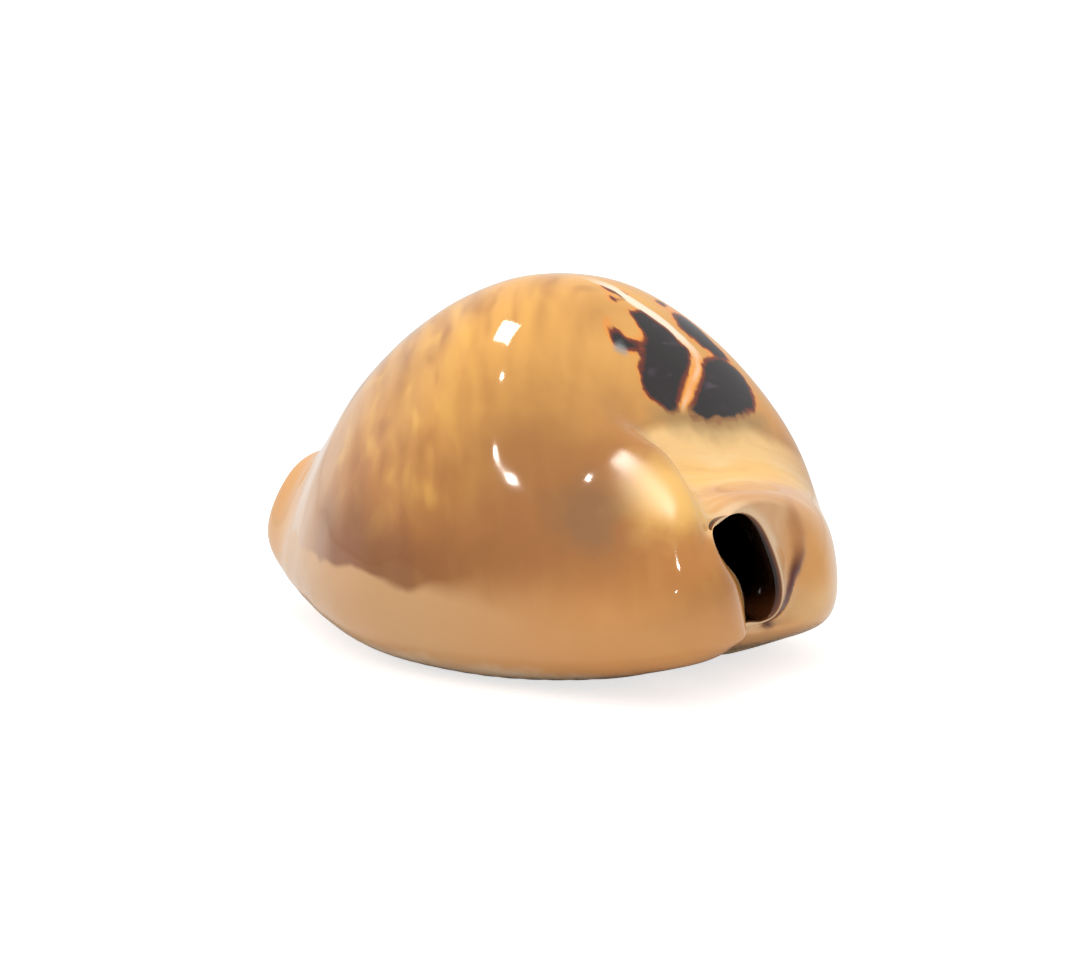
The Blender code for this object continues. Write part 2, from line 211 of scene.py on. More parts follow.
def hollowPoints(side):
    # the hollow's wall, slanted in on the near side, then the inside of the lip
    st = station
    slant = spread(st["slant"] if side < 0 else 0 * st["slant"])
    shape = hollowSide + slant * (slantedSide - hollowSide)
    half = st["hollowFar"] if side > 0 else st["hollowNear"]
    edge = st["slit"] + side * st["gap"]
    lipRise = st["floor"] + (st["floor"] - st["base"])
    lip = np.broadcast_to(lipInside, (len(half),) + lipInside.shape)
    return np.concatenate([sidePoints(st["centre"], side * half, st["floor"], st["roof"], shape),
                           sidePoints(edge, side * st["lip"], st["floor"], lipRise, lip)], axis=1)


def endLean(leanBack, leanFront):
    # shift along the shell that grows as a power of the way past the start of each end
    back = np.maximum(station["along"] - shell["leanBackFrom"], 0) / shell["leanLength"]
    front = np.maximum(shell["leanFrontFrom"] - station["along"], 0) / shell["leanLength"]
    return (back[:, None] ** shell["leanBackPower"] * leanBack
            - front[:, None] ** shell["leanFrontPower"] * leanFront)


def sectionCurves(around):
    # closed section net, outer side then hollow, as spline curves sampled at the same places
    st = station
    top = np.stack([st["centre"], st["top"]], axis=-1)[:, None]
    roof = np.stack([st["centre"], st["roof"]], axis=-1)[:, None]
    outer = np.concatenate([outerSide(-1)[:, ::-1], top, outerSide(1)], axis=1)
    inner = np.concatenate([hollowPoints(1)[:, ::-1], roof, hollowPoints(-1)], axis=1)
    paired = np.linspace(outerCount, 0, innerCount + 1, endpoint=False)[1:] - 0.5
    columns = np.arange(outerCount)
    innerLean = [np.interp(paired, columns, lean) for lean in (backLean - rimBack, frontLean)]
    lean = np.concatenate([endLean(backLean, frontLean), endLean(*innerLean)], axis=1)
    along = st["along"][:, None] + lean
    net = np.concatenate([along[..., None], np.concatenate([outer, inner], axis=1)], axis=-1)
    net = net * (shellSize[0], shellSize[1] / 2, shellSize[2])
    count = outerCount + innerCount
    turn = (outerCount - 1) * around
    backTurn = count - (innerCount + 1) * around
    return (np.einsum("cn,snx->scx", splineWeights(count, turn / count, True), net),
            np.einsum("cn,snx->scx", splineWeights(count, (backTurn % count) / count, True), net))


def withEnds(outer, inner, around):
    # rows mixed of the last outer and inner ones close the wall at a shared rim, and one
    # mirrored row past each rim pins the spline to it
    count = outerCount + innerCount
    openWeights = splineWeights(count, (outerCount - 1) * around / count, True)[:, :outerCount]
    rounding = shell["rimRounding"]
    nearShare = np.clip((0.5 - around) / shell["nearTurn"], 0, 1)[:, None]
    lastX = outer[-1, :, 0]
    frontRim = (outer[0] + inner[0]) / 2
    frontRim[:, 0] = outer[0, :, 0] - 2 * rounding
    backRim = inner[-1] + shell["rimOut"] * (1 - nearShare) * (outer[-1] - inner[-1])
    backRim[:, 0] = lastX + rounding - openWeights @ rimBack * shellSize[0]
    inward = shell["beforeRimIn"] + shell["beforeRimNear"] * nearShare
    beforeRim = outer[-1] + inward * (inner[-1] - outer[-1])
    beforeRim[:, 0] = lastX + rounding - openWeights @ channel * shellSize[0]
    insideRim = inner[-1] + shell["insideRimOut"] * (outer[-1] - inner[-1])
    insideRim[:, 0] = (inner[-1, :, 0] + backRim[:, 0]) / 2
    insideRim[[0, -1]] = beforeRim[[0, -1]]
    return tuple(np.concatenate([[2 * frontRim - rows[0]], [frontRim], rows, [last], [backRim],
                                 [2 * backRim - last]])
                 for rows, last in ((outer, beforeRim), (inner, insideRim)))


def rowPlaces(lipLine):
    # rows spaced evenly by tooth along the slit, and past it evenly by the spline's own
    # measure, which brings them closer towards each rim
    fine = np.linspace(0, 1, shell["fineSteps"] * len(lipLine))
    along = splineWeights(len(lipLine), fine, False) @ lipLine
    steps = shell["rowsPerTooth"] * teeth["count"] + 1
    middle = np.interp(np.linspace(teeth["start"], teeth["end"], steps) * shellSize[0], along, fine)
    front = middle[0] * np.linspace(0, 1, shell["frontRows"], endpoint=False)
    back = 1 - (1 - middle[-1]) * np.linspace(1, 0, shell["backRows"] + 1)[1:]
    return np.concatenate([front, middle, back])


def raiseTeeth(outer, inner, around):
    # the lip's edge steps into the slit by a squared sine, once a tooth, in full up to half
    # its reach, and dips a little
    fromEdge = (outerCount - 1) * np.minimum(around, 1 - around)
    side = np.sign(around - 0.5)
    start, end = teeth["start"] * shellSize[0], teeth["end"] * shellSize[0]
    under = np.clip(1 - np.abs(fromEdge - teeth["dipAt"]) / teeth["dipReach"], 0, 1)
    reachOutside = np.where(side < 0, teeth["reachNear"], teeth["reachFar"])
    for points, reach, dip in ((outer, reachOutside, teeth["dip"]), (inner, teeth["reachInside"], 0)):
        share = (points[:, :, 0] - start) / (end - start)
        wave = np.where((share > 0) & (share < 1), np.sin(np.pi * teeth["count"] * share) ** 2, 0)
        edge = np.clip(2 * (reach - fromEdge) / reach, 0, 1)
        points[:, :, 1] -= teeth["rise"] * wave * edge * side
        points[:, :, 2] -= dip * teeth["rise"] * wave * under


def shellGrids():
    # outer and inner grids of points, rows along the shell by columns round it, which
    # stand closer together at the lips
    lips = np.linspace(0, shell["lipShare"], shell["lipColumns"], endpoint=False)
    middleCount = shell["columns"] - 2 * shell["lipColumns"] + 1
    middle = np.linspace(shell["lipShare"], 1 - shell["lipShare"], middleCount)
    around = np.concatenate([lips, middle, 1 - lips[::-1]])
    outer, inner = withEnds(*sectionCurves(around), around)
    weights = splineWeights(len(outer), rowPlaces(outer[:, shell["lipColumns"] // 2, 0]), False)
    outer = np.einsum("rs,scx->rcx", weights, outer)
    inner = np.einsum("rs,scx->rcx", weights, inner)
    raiseTeeth(outer, inner, around)
    return outer, inner


def fitToFrame(outer, inner):
    # cuts the flat spot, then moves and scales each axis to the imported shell's box
    flat = outer.reshape(-1, 3)
    low, high = flat.min(axis=0), flat.max(axis=0)
    low[2] += shell["restCut"]
    for points in (outer, inner):
        points[:, :, 2] = np.maximum(points[:, :, 2], low[2])
        points -= low
        points *= shellSize / (high - low)
        points += shellLow


def gridFaces(numbers):
    # four corners for each cell, and one triangle where a cell has two shared edges
    faces = np.stack([numbers[:-1, :-1], numbers[1:, :-1], numbers[1:, 1:], numbers[:-1, 1:]], axis=-1)
    keep = np.ones(faces.shape[:2], bool)
    keep[[0, 0, -1, -1], [0, -1, 0, -1]] = False
    corners = [faces[0, 0, [1, 2, 3]], faces[0, -1, [0, 1, 2]],
               faces[-1, 0, [0, 2, 3]], faces[-1, -1, [0, 1, 3]]]
    return faces[keep], np.array(corners)


def joinGrids(outer):
    # numbers both grids' points, the hollow's with the outer ones along the rims and the
    # edges of the slit, and keeps the numbers that a face uses
    rows, columns = outer.shape[:2]
    outside = np.arange(rows * columns).reshape(rows, columns)
    inside = outside + rows * columns
    for edge in (np.s_[0], np.s_[-1], np.s_[:, 0], np.s_[:, -1]):
        inside[edge] = outside[edge]
    outerQuads, outerCorners = gridFaces(outside)
    innerQuads, innerCorners = gridFaces(inside)
    quads = np.concatenate([outerQuads, innerQuads[:, ::-1]])
    corners = np.concatenate([outerCorners, innerCorners[:, ::-1]])
    used, places = np.unique(np.concatenate([quads.ravel(), corners.ravel()]), return_inverse=True)
    quads, corners = places[:quads.size].reshape(-1, 4), places[quads.size:].reshape(-1, 3)
    return used, quads, corners


# Markings. The blotches are outlines on the unrolled back and the mantle line is a path
# there, each point a place along and the way round from the top, in mm. The groove is a
# path over the far lobe beside the canal, in mm.
markings = {
    "unmarked": 99.0,           # the distance given to the hollow
    "blotches": [
        [(7.4, 1.7), (7.3, 3.0), (7.6, 3.9), (8.3, 4.5), (9.2, 4.8), (9.7, 5.2), (10.5, 4.6),
         (11.4, 3.2), (12.1, 1.9), (12.7, 1.1), (12.8, 0.1), (12.1, -0.7), (11.6, -1.2), (10.7, -0.6),
         (9.9, 0.4), (9.0, 1.9)],
        [(7.9, -0.9), (8.5, -0.3), (9.1, -0.2), (9.3, 0.8), (9.8, 0.3), (9.6, -0.5), (9.4, -1.5),
         (8.8, -1.4)],
        [(5.0, 1.5), (5.3, 2.6), (5.9, 3.3), (6.3, 2.5), (5.8, 1.7)],
        [(6.1, 1.2), (6.4, 1.8), (6.7, 1.1)],
        [(10.1, 6.6), (9.7, 8.8), (10.0, 10.5), (11.0, 10.6), (12.4, 9.4), (13.0, 6.8), (13.3, 3.4),
         (13.0, 2.2), (12.3, 2.5), (11.6, 4.2), (10.7, 5.7)],
        [(6.9, 6.8), (6.8, 8.1), (7.3, 8.6), (8.4, 9.3), (9.5, 9.8), (9.7, 8.5), (9.3, 7.4), (8.8, 6.7),
         (8.1, 6.0)],
        [(5.8, 6.2), (5.6, 6.9), (6.1, 7.0), (6.3, 6.1)],
    ],
    "mantle": [(2.0, 0.8), (4.4, 1.6), (5.3, 2.4), (6.3, 2.8), (7.5, 4.0), (8.8, 5.1), (9.8, 5.9),
               (10.5, 5.5), (11.1, 4.4), (11.7, 3.3), (12.3, 2.2), (12.8, 1.6)],
    "groove": [(19.2, 4.6, 12.2), (20.1, 4.2, 11.8), (20.5, 4.3, 10.8), (20.6, 4.7, 9.6),
               (20.8, 4.7, 8.4), (20.9, 4.3, 7.4), (21.1, 3.6, 6.5), (21.3, 2.8, 5.5), (21.5, 1.8, 4.7),
               (21.6, 0.8, 4.3)],
}


# Gentle rises and dips of the outer surface, in mm
swellings = {
    "lobeBulge": ((22.4, -9.8, 10.2), 2.8, 0.15),           # centre, reach and height
    "grooveDepth": 0.45,
    "grooveTop": 11.0,          # height where it starts
    "grooveRun": 3.0,           # and over which it deepens
    "grooveReach": 0.5,
    "unevenness": 0.03,
    "waves": [(0.9, 0.5, 0), (0.55, -0.8, 2), (1.3, 0.2, 4)],   # radians a mm along and round, start
    "stillEdge": (0.3, 1.5),    # how far in nothing moves, and the run from there to moving fully
    "stillFoot": (0.8, 3.0),
}


def distanceTo(places, path, closed=False):
    # distance of each place to the nearest piece of the path, by dropping it on each piece
    starts = np.asarray(path, float)
    ends = np.roll(starts, -1, axis=0)
    if not closed:
        starts, ends = starts[:-1], ends[:-1]
    nearest = np.full(len(places), np.inf)
    for start, end in zip(starts, ends):
        share = np.clip((places - start) @ (end - start) / ((end - start) @ (end - start)), 0, 1)
        away = places - start - share[:, None] * (end - start)
        nearest = np.minimum(nearest, np.linalg.norm(away, axis=1))
    return nearest


def lineDistance(places, path):
    # distance to the path, less than nothing on its near side
    side = np.sign(places[:, 1] - np.interp(places[:, 0], *np.transpose(path)))
    return side * distanceTo(places, path)


def insideDistance(places, outline):
    # distance to the outline, positive inside it, where a line to one side crosses it an odd
    # number of times
    distance = distanceTo(places, outline, closed=True)
    starts = np.asarray(outline, float)
    ends = np.roll(starts, -1, axis=0)
    crossings = np.zeros(len(places), int)
    for (x0, y0), (x1, y1) in zip(starts, ends):
        spans = (y0 > places[:, 1]) != (y1 > places[:, 1])
        rise = y1 - y0 if y1 != y0 else 1
        crossings += spans & (places[:, 0] < x0 + (places[:, 1] - y0) * (x1 - x0) / rise)
    return np.where(crossings % 2, distance, -distance)


def gridNormals(points):
    # cross product of the steps round and along, brought to length one where it has any
    normals = np.cross(np.gradient(points, axis=1), np.gradient(points, axis=0))
    return normals / np.maximum(np.linalg.norm(normals, axis=2, keepdims=True), 1e-12)    # never by nothing


def swell(outer, arc):
    # moves the outer surface along its normals: a bell curve round the lobe's centre, less
    # one over the way from the groove's path, plus half the sum of the waves' sines, and
    # less and less towards the edges and the floor
    places = outer * toMm
    rise = np.zeros(outer.shape[:2])
    centre, reach, height = swellings["lobeBulge"]
    rise += height * np.exp(-(np.linalg.norm(places - centre, axis=2) / reach) ** 2)
    away = distanceTo(places.reshape(-1, 3), markings["groove"]).reshape(rise.shape)
    deepening = np.clip((swellings["grooveTop"] - places[..., 2]) / swellings["grooveRun"], 0, 1)
    rise -= swellings["grooveDepth"] * deepening * np.exp(-(away / swellings["grooveReach"]) ** 2)
    x, way = places[..., 0], toMm * arc
    waves = sum(np.sin(along * x + around * way + start) for along, around, start in swellings["waves"])
    rise += swellings["unevenness"] * waves / 2
    (edge, edgeRun), (foot, footRun) = swellings["stillEdge"], swellings["stillFoot"]
    fade = (np.clip((gridDepth(outer) - edge) / edgeRun, 0, 1)
            * np.clip((places[..., 2] - foot) / footRun, 0, 1))
    outer += gridNormals(outer) * (rise * fade / toMm)[..., None]


def gridDepth(points):
    # distance in mm from each point of a grid to its nearest edge: the least of the sums of
    # steps both ways along and both ways round
    along = np.linalg.norm(np.diff(points, axis=0), axis=2)
    across = np.linalg.norm(np.diff(points, axis=1), axis=2)
    zeroRow, zeroColumn = np.zeros((1, points.shape[1])), np.zeros((points.shape[0], 1))
    fromStart = np.concatenate([zeroRow, np.cumsum(along, axis=0)])
    fromLip = np.concatenate([zeroColumn, np.cumsum(across, axis=1)], axis=1)
    ways = (fromStart, fromStart[-1] - fromStart, fromLip, fromLip[:, -1:] - fromLip)
    return toMm * np.minimum.reduce(ways)


def shellFields(outer, inner, arc):
    # values in mm that the enamel reads: way round, depth in the hollow (less than nothing
    # outside), distance into the blotches, less than nothing outside them, distance to the
    # mantle line, less than nothing on its near side, and distance to the groove
    outside, way = outer.reshape(-1, 3) * toMm, arc.ravel() * toMm
    unrolled = np.column_stack([outside[:, 0], way])
    blotch = np.maximum.reduce([insideDistance(unrolled, outline) for outline in markings["blotches"]])
    unmarked = np.full(len(way), markings["unmarked"])
    return {
        "arc": np.tile(way, 2),
        "depth": np.concatenate([-gridDepth(outer).ravel(), gridDepth(inner).ravel()]),
        "blotch": np.concatenate([blotch, -unmarked]),
        "mantle": np.concatenate([lineDistance(unrolled, markings["mantle"]), unmarked]),
        "groove": np.concatenate([distanceTo(outside, markings["groove"]), unmarked]),
    }


def makeShell():
    # one closed mesh of both grids; arc is the sum of the steps round the section from its
    # top, positive on the far side
    outer, inner = shellGrids()
    fitToFrame(outer, inner)
    steps = np.linalg.norm(np.diff(outer, axis=1), axis=2)
    arc = np.concatenate([np.zeros((len(outer), 1)), np.cumsum(steps, axis=1)], axis=1)
    arc -= arc[:, [outer.shape[1] // 2]]
    swell(outer, arc)
    used, quads, corners = joinGrids(outer)
    points = np.concatenate([outer.reshape(-1, 3), inner.reshape(-1, 3)])[used]
    mesh = bpy.data.meshes.new("shell_skin")
    mesh.from_pydata(points.tolist(), [], quads.tolist() + corners.tolist())
    for name, values in shellFields(outer, inner, arc).items():
        field = mesh.attributes.new(name, "FLOAT", "POINT")
        field.data.foreach_set("value", values[used].astype(np.float32))
    mesh.shade_smooth()
    piece = bpy.data.objects.new("shell_skin", mesh)
    bpy.context.scene.collection.objects.link(piece)
    return piece


print("shell: working out the surface")
shellPiece = makeShell()
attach(shellPiece, "root")
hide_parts(shellNode)


print("shell: enamel")
# Enamel. Lengths, places and sizes are in mm.
enamel = {
    "roughness": 0.07,
    "wornRoughness": 0.3,       # added on the worn spot
    "marginHeight": 6.8,        # how far up the coating of the margin goes
    "barTurn": 3.0,             # how far from the middle the bars turn back
    "barSweep": 0.9,            # and how much they then sweep back
    "spotCore": 0.2,            # share of a spot's reach that it covers fully
    # colours as seen, 0 to 255
    "tones": {
        "dome": (230, 170, 88),
        "flank": (196, 132, 64),
        "shade": (154, 98, 52),
        "darkStreak": (160, 98, 44),
        "glowStreak": (246, 190, 92),
        "cloud": (132, 98, 66),
        "deepBand": (142, 84, 38),
        "callus": (220, 170, 116),
        "callusBack": (222, 158, 94),
        # the front's pale band below is partly its own colour and partly a painted reflection
        "frontPaleAndReflection": (228, 184, 142),
        # the whitish line along the front ridge below is a painted highlight
        "frontRidgeHighlight": (232, 206, 186),
        "frontTip": (232, 166, 84),
        # the near lobe's top below: its pale tan, partly a painted sheen
        "lobeTanAndSheen": (246, 196, 108),
        "halo": (148, 122, 80),
        # the saddle's pale yellow below is a painted highlight
        "saddleHighlight": (252, 208, 140),
        # the crest's yellow below is partly its own colour and partly painted light on its upturned top
        "crest": (246, 196, 112),
        "collar": (214, 160, 114),
        "farFlank": (232, 166, 90),
        "farFoot": (252, 214, 158),
        "ringDark": (196, 136, 80),
        "ringPale": (248, 222, 176),
        "rim": (246, 224, 188),
        "blotch": (34, 26, 28),
        "cracks": (92, 78, 92),
        "fringe": (120, 44, 14),
        "glow": (252, 140, 30),
        "mantleTop": (252, 238, 212),
        "mantleLow": (255, 166, 62),
        "blueGrey": (150, 160, 158),
        # painted shade in the far lobe's groove: brown above it, dark red-brown in it
        "grooveTop": (168, 100, 46),
        "groove": (94, 34, 12),
        # painted shade in the hollow: near black deep in, brown just inside its mouth
        "inside": (26, 12, 7),
        "mouthBrownAndShade": (120, 66, 34),
        "base": (232, 200, 164),
    },
    # how strongly a layer covers what is under it, where that isn't fully
    "covers": {
        "darkStreak": 0.55, "glowStreak": 0.55, "darkBar": 0.45, "shade": 0.65, "deepBand": 0.9,
        "frontPaleAndReflection": 0.6, "frontRidgeHighlight": 0.7, "frontTip": 0.75, "margin": 0.9,
        "halo": 0.3, "saddleHighlight": 0.9, "crest": 0.8, "collar": 0.85, "lobeTanAndSheen": 0.8, "cloud": 0.6,
        "farLobe": 0.85, "ringDark": 0.4, "ringPale": 0.45,
        "blotchHalo": 0.55, "glow": 0.75, "mantle": 0.95, "mantleCore": 0.5, "cracks": 0.55,
        "blueGrey": 0.7, "rim": 0.45, "grooveTop": 0.55, "fold": 0.6,
    },
    # noises: size of the lumps, detail, roughness and distortion
    "lumps": {
        "coarse": (6.0, 3.0, 0.5, 0.0),
        "middle": (2.4, 3.0, 0.5, 0.0),
        "lobes": (3.0, 1.0, 0.3, 0.0),
        "ragged": (0.8, 1.5, 0.45, 0.0),
        "streak": (2.6, 1.0, 0.3, 0.2),
        "bars": (1.6, 0.8, 0.35, 0.35),
        "rings": (0.7, 2.0, 0.5, 0.0),
        "cracks": (0.9, 3.0, 0.5, 0.6),
    },
    # share of the way round that the drawn-out noises read, which makes their lumps longer
    "squeeze": {"streak": 0.28, "bars": 0.55, "rings": 0.1, "cracks": 0.28},
    # how far a noise moves an edge
    "wobbles": {
        "flank": 2.2, "deepBand": 1.2, "deepBandBars": 0.6,
        "frontPaleAndReflection": 1.6, "frontRidgeHighlight": 0.3, "frontTip": 0.7, "margin": 0.15, "marginLobes": 0.32,
        "rings": 0.3, "farther": 0.8, "behind": 0.5,
        "blotch": 0.12, "blotchRagged": 0.12, "mantle": 0.12, "lower": 0.3,
        "groove": 0.06, "base": 0.5,
    },
    # round spots: centre, reach and how far their edge wobbles
    "spots": {
        "shade": ((13.5, -11.0, 13.5), 12.5, 1.8),
        "lobeTanAndSheen": ((19.4, -5.9, 13.6), 5.6, 0.9),
        "cloud": ((15.8, -10.4, 12.4), 4.4, 1.0),
        "farLobe": ((20.0, 7.5, 8.5), 7.0, 1.0),
        "blueGrey": ((9.5, -1.3, 22.0), 0.9, 0.2),
        "worn": ((18.6, -6.9, 14.4), 5.2, 0.2),
    },
    # smooth steps: where each starts and ends, then its values there if not 0 and 1
    "bands": {
        "flank": (22.0, 11.0),
        "frontHalf": (11.0, 1.0, 0.2, 1.0),
        "darkStreak": (-0.5, 1.2),
        "glowStreak": (0.1, -1.1),
        "darkBar": (0.0, 1.2),
        "deepBand": (13.2, 8.6),
        "deepBandBack": (14.0, 2.0, 0.2, 1.0),
        "deepBandFront": (-14.5, -10.5),
        "frontPaleAndReflection": (-3.0, -12.0),
        "frontRidgeHighlight": (-12.8, -14.2),
        "frontRidgeHighlightEnd": (-17.0, -15.2),
        "frontTip": (-15.4, -18.4),
        "margin": (-1.0, 1.0),
        "marginSoftness": (4.0, 16.0, 0.3, 2.6),
        "marginFront": (-20.0, -13.0, 0.3, 1.0),
        "callusBack": (4.0, 20.0),
        "farther": (-5.0, -2.0),
        "fartherEnd": (17.0, 7.0, 0.1, 1.0),
        "halo": (12.7, 13.3),
        "saddleHighlight": (13.2, 14.0),
        "crest": (14.8, 16.0),
        "collar": (16.8, 18.2),
        "farLobeSide": (1.5, 4.5),
        "farFoot": (7.0, 3.5),
        "ringed": (13.4, 15.0),
        "ringDark": (0.1, 1.2),
        "ringPale": (-0.1, -1.2),
        "mantleWidth": (6.0, 12.0, 0.5, 0.34),
        "warm": (12.6, 11.6),
        "blotchHalo": (-1.6, -0.2),
        "blotchHaloStart": (12.0, 12.8),
        "glow": (-0.5, -0.02),
        "glowPatches": (-0.7, 0.5),
        "mantle": (0.15, -0.15),
        "mantleStart": (3.0, 6.0),
        "mantleEnd": (13.0, 12.2),
        "mantleLow": (8.6, 10.8),
        "mantleCore": (-0.12, -0.34),
        "mantleCorePatches": (-1.0, 0.6),
        "fringe": (-0.2, 0.02),
        "fringeEnd": (12.9, 12.3, 0.4, 1.0),
        "blotch": (0.0, 0.28),
        "cracks": (0.25, 1.2),
        "cracksInside": (0.1, 0.6),
        "rim": (-1.4, -0.1),
        "rimStart": (16.0, 19.0),
        "grooveTop": (1.1, 0.1),
        "grooveTopHeight": (13.0, 10.5),
        "groove": (0.8, 0.2),
        "grooveHeight": (9.6, 7.0),
        "base": (2.2, 0.8),
        "mouthBrownAndShade": (0.0, 0.2),
        "foldHeight": (7.0, 4.4),
        "foldSide": (-1.0, 1.5),
        "hollowShade": (0.1, 0.6),
    },
}


def tone(name):
    # display value to light value: below a small value a straight line, above it a power
    shares = np.array(enamel["tones"][name]) / 255
    return tuple(np.where(shares <= 0.04045, shares / 12.92, ((shares + 0.055) / 1.055) ** 2.4)) + (1,)


class Wiring:
    # short ways to add and join nodes in one material
    def __init__(self, tree):
        self.tree = tree

    def node(self, kind, values=(), **settings):
        # new node with its settings, and each socket set or linked
        made = self.tree.nodes.new(kind)
        for name, value in settings.items():
            setattr(made, name, value)
        for socket, value in dict(values).items():
            self.put(made.inputs[socket], value)
        return made

    def put(self, socket, value):
        # links another node's socket, or sets a plain value
        if isinstance(value, bpy.types.NodeSocket):
            self.tree.links.new(value, socket)
        else:
            socket.default_value = value

    def math(self, operation, first, second=0.0, third=0.0):
        # one sum, product or other operation on up to three values
        values = {0: first, 1: second, 2: third}
        return self.node("ShaderNodeMath", values, operation=operation).outputs[0]

    def field(self, name):
        # one of the mesh's own fields
        return self.node("ShaderNodeAttribute", attribute_name=name).outputs["Fac"]

    def times(self, first, *others):
        # product of all the values
        for other in others:
            first = self.math("MULTIPLY", first, other)
        return first

    def plus(self, value, wobble, share):
        # the value plus the wobble times its share
        return self.math("MULTIPLY_ADD", wobble, share, value)

    def plane(self, first, second):
        # a place from two values
        return self.node("ShaderNodeCombineXYZ", {"X": first, "Y": second}).outputs[0]

    def step(self, value, low, high, bottom=0.0, top=1.0):
        # smooth step of a value, falling where low is above high
        values = {"Value": value, "From Min": low, "From Max": high, "To Min": bottom, "To Max": top}
        return self.node("ShaderNodeMapRange", values, interpolation_type="SMOOTHSTEP").outputs[0]

    def band(self, value, name):
        # smooth step between the limits of that name
        return self.step(value, *enamel["bands"][name])

    def wavy(self, value, noise, name):
        # the value moved by the noise, times the wobble of that name
        return self.plus(value, noise, enamel["wobbles"][name])

    def lumps(self, place, name):
        # noise from about -1 to 1: four times the node's value, less two
        size, detail, roughness, distortion = enamel["lumps"][name]
        values = {"Vector": place, "Scale": 1 / size, "Detail": detail, "Roughness": roughness,
                  "Distortion": distortion}
        return self.math("MULTIPLY_ADD", self.node("ShaderNodeTexNoise", values).outputs[0], 4.0, -2.0)

    def drawnOut(self, along, arc, name):
        # noise over the unrolled shell with the way round squeezed, so its lumps run round
        return self.lumps(self.plane(along, self.times(arc, enamel["squeeze"][name])), name)

    def spot(self, place, noise, name):
        # 1 at the spot's core, falling smoothly to 0 at its reach, with a wobbling edge
        centre, reach, wobble = enamel["spots"][name]
        away = self.node("ShaderNodeVectorMath", {0: place, 1: centre}, operation="DISTANCE")
        edge = self.plus(away.outputs["Value"], noise, wobble)
        return self.step(edge, reach, enamel["spotCore"] * reach)

    def cover(self, under, mask, name, color=None):
        # mixes a colour over what is under it by the mask times the cover of that name; the
        # colour is the tone of that name, or of another, or a node's result
        if name in enamel["covers"]:
            mask = self.times(mask, enamel["covers"][name])
        color = name if color is None else color
        mix = self.node("ShaderNodeMix", data_type="RGBA")
        self.put(mix.inputs["Factor"], mask)
        self.put(mix.inputs["A"], under)
        self.put(mix.inputs["B"], tone(color) if isinstance(color, str) else color)
        return mix.outputs["Result"]


def surfaceValues(w):
    # place in mm, way round, depth and the noises; the bars run down the flanks and sweep
    # back by the root of the square of the way to the side plus that of their turn
    coordinates = w.node("ShaderNodeTexCoord").outputs["Object"]
    place = w.node("ShaderNodeVectorMath", {0: coordinates, "Scale": toMm}, operation="SCALE").outputs[0]
    apart = w.node("ShaderNodeSeparateXYZ", {0: place}).outputs
    x, y, z = apart["X"], apart["Y"], apart["Z"]
    arc = w.field("arc")
    aside = w.math("SQRT", w.math("MULTIPLY_ADD", y, y, enamel["barTurn"] ** 2))
    swept = w.plus(x, aside, -enamel["barSweep"])
    coarse = w.lumps(place, "coarse")
    return SimpleNamespace(
        place=place, x=x, y=y, z=z, arc=arc, depth=w.field("depth"), coarse=coarse,
        middle=w.lumps(place, "middle"), lobes=w.lumps(place, "lobes"), ragged=w.lumps(place, "ragged"),
        streak=w.drawnOut(swept, arc, "streak"), bars=w.drawnOut(swept, arc, "bars"),
        rings=w.drawnOut(w.wavy(x, coarse, "rings"), arc, "rings"))


def groundLayers(w, at):
    # lighter on the dome, browner down the flank, barred round the front half
    color = w.cover(tone("dome"), w.band(w.wavy(at.z, at.coarse, "flank"), "flank"), "flank")
    frontHalf = w.band(at.x, "frontHalf")
    color = w.cover(color, w.times(w.band(at.streak, "darkStreak"), frontHalf), "darkStreak")
    color = w.cover(color, w.times(w.band(at.bars, "glowStreak"), frontHalf), "glowStreak")
    color = w.cover(color, w.times(w.band(at.bars, "darkBar"), frontHalf), "darkBar", "darkStreak")
    color = w.cover(color, w.spot(at.place, at.coarse, "shade"), "shade")
    height = w.wavy(w.wavy(at.z, at.coarse, "deepBand"), at.bars, "deepBandBars")
    deep = w.times(w.band(height, "deepBand"), w.band(at.x, "deepBandBack"), w.band(at.x, "deepBandFront"))
    return w.cover(color, deep, "deepBand")


def frontLayers(w, at, color):
    # the front end pales, partly its own paler colour and partly a painted reflection, with a whitish
    # painted highlight along its ridge before its orange tip
    color = w.cover(color, w.band(w.wavy(at.x, at.streak, "frontPaleAndReflection"), "frontPaleAndReflection"), "frontPaleAndReflection")
    # painted highlight along the front ridge
    ridge = w.times(w.band(w.wavy(at.x, at.middle, "frontRidgeHighlight"), "frontRidgeHighlight"),
                    w.band(at.x, "frontRidgeHighlightEnd"))
    color = w.cover(color, ridge, "frontRidgeHighlight")
    return w.cover(color, w.band(w.wavy(at.x, at.middle, "frontTip"), "frontTip"), "frontTip")


def marginLayers(w, at, color):
    # the margin is coated up to a wavy height, sharp in front and soft behind: a step of
    # what is left up to that height over the softness
    level = w.wavy(w.wavy(at.z, at.lobes, "marginLobes"), at.coarse, "margin")
    left = w.math("SUBTRACT", enamel["marginHeight"], level)
    coated = w.band(w.math("DIVIDE", left, w.band(at.x, "marginSoftness")), "margin")
    coat = w.cover(tone("callus"), w.band(at.x, "callusBack"), "callusBack")
    return w.cover(color, w.times(coated, w.band(at.x, "marginFront")), "margin", coat)


